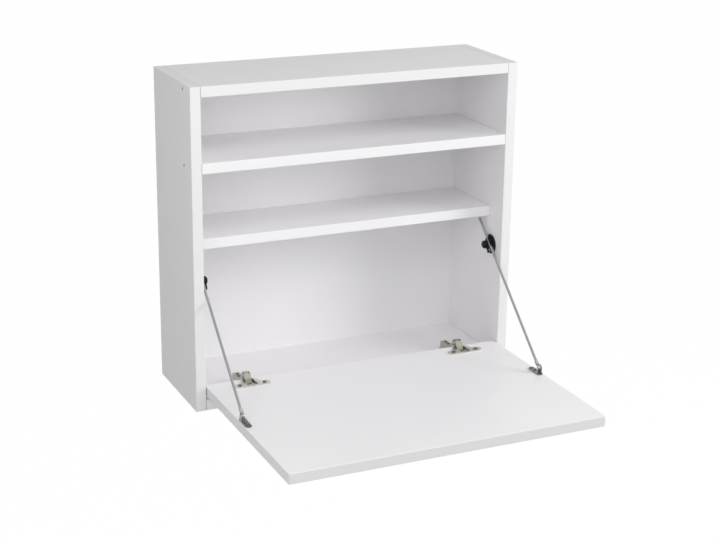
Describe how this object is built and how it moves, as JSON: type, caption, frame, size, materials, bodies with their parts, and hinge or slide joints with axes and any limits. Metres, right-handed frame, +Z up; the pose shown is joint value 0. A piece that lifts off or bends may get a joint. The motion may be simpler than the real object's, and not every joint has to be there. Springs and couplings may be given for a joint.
{
  "type": "fold down wall desk",
  "caption": "Shallow open wall cabinet with shelves whose front flap folds down on concealed hinges into a desk held level by stay cables.",
  "frame": {"origin": "midway between the two wall-hanging holes, on the wall plane", "axes": "+X to the desk's right as seen from the room, +Y into the wall, +Z up"},
  "size_m": [0.6, 0.559, 0.56],
  "materials": {
    "carcass_board": "white melamine facing, satin",
    "shelf_board": "white melamine facing, satin",
    "back_board": "white lacquered fibreboard, satin",
    "flap_board": "white melamine facing, satin",
    "screw_steel": "bright zinc plated",
    "pin_steel": "nickel plated",
    "hanger_zinc": "zinc plated",
    "cup_nickel": "warm nickel plated, satin",
    "arm_nickel": "warm nickel plated, satin",
    "link_nickel": "warm nickel plated, satin",
    "plate_nickel": "warm nickel plated, satin",
    "clamp_plastic": "black moulded plastic, satin",
    "knob_plastic": "black moulded plastic, satin",
    "cable_sheath": "light grey sheath, satin",
    "terminal_steel": "grey zinc plated",
    "bracket_steel": "dark grey, satin",
    "rivet_steel": "zinc plated"
  },
  "bodies": {
    "cabinet": {"top_panel": "carcass_board", "bottom_panel": "carcass_board", "upper_shelf": "shelf_board", "lower_shelf": "shelf_board", "back_panel": "back_board", "panel_screws": "screw_steel", "shelf_pins": "pin_steel", "left_side_panel": "carcass_board", "left_hanger_plate": "hanger_zinc", "left_hinge_arm": "arm_nickel", "left_hinge_pin": "pin_steel", "left_mounting_plate": "plate_nickel", "left_stay_clamp": "clamp_plastic", "left_stay_cable": "cable_sheath", "right_side_panel": "carcass_board", "right_hanger_plate": "hanger_zinc", "right_hinge_arm": "arm_nickel", "right_hinge_pin": "pin_steel", "right_mounting_plate": "plate_nickel", "right_stay_clamp": "clamp_plastic", "right_stay_cable": "cable_sheath"},
    "flap": {"flap_panel": "flap_board", "left_hinge_cup": "cup_nickel", "left_cup_pin": "pin_steel", "left_flap_bracket": "bracket_steel", "left_cable_terminal": "terminal_steel", "left_cable_rivet": "rivet_steel", "right_hinge_cup": "cup_nickel", "right_cup_pin": "pin_steel", "right_flap_bracket": "bracket_steel", "right_cable_terminal": "terminal_steel", "right_cable_rivet": "rivet_steel"},
    "left_link": {"left_hinge_link": "link_nickel"},
    "right_link": {"right_hinge_link": "link_nickel"},
    "left_knob": {"left_clamp_knob": "knob_plastic"},
    "right_knob": {"right_clamp_knob": "knob_plastic"}
  },
  "joints": [
    {"name": "flap_fold", "type": "hinge", "parent": "cabinet", "child": "flap", "pos_m": [0, -0.186, -0.472], "axis": [-1, 0, 0], "range_deg": [0, 90], "deforming": ["left_stay_cable", "right_stay_cable"]},
    {"name": "left_link_swing", "type": "hinge", "parent": "cabinet", "child": "left_link", "pos_m": [-0.205, -0.1775, -0.4515], "axis": [1, 0, 0], "range_deg": [0, 38.5]},
    {"name": "right_link_swing", "type": "hinge", "parent": "cabinet", "child": "right_link", "pos_m": [0.205, -0.1775, -0.4515], "axis": [1, 0, 0], "range_deg": [0, 38.5]},
    {"name": "left_knob_turn", "type": "hinge", "parent": "cabinet", "child": "left_knob", "pos_m": [-0.27, -0.153, -0.279], "axis": [1, 0, 0], "range_deg": [0, 90]},
    {"name": "right_knob_turn", "type": "hinge", "parent": "cabinet", "child": "right_knob", "pos_m": [0.27, -0.153, -0.279], "axis": [-1, 0, 0], "range_deg": [0, 90]}
  ],
  "couplings": [
    {"joint": "left_link_swing", "follows": "flap_fold", "ratio": 0.42735},
    {"joint": "right_link_swing", "follows": "flap_fold", "ratio": 0.42735}
  ]
}
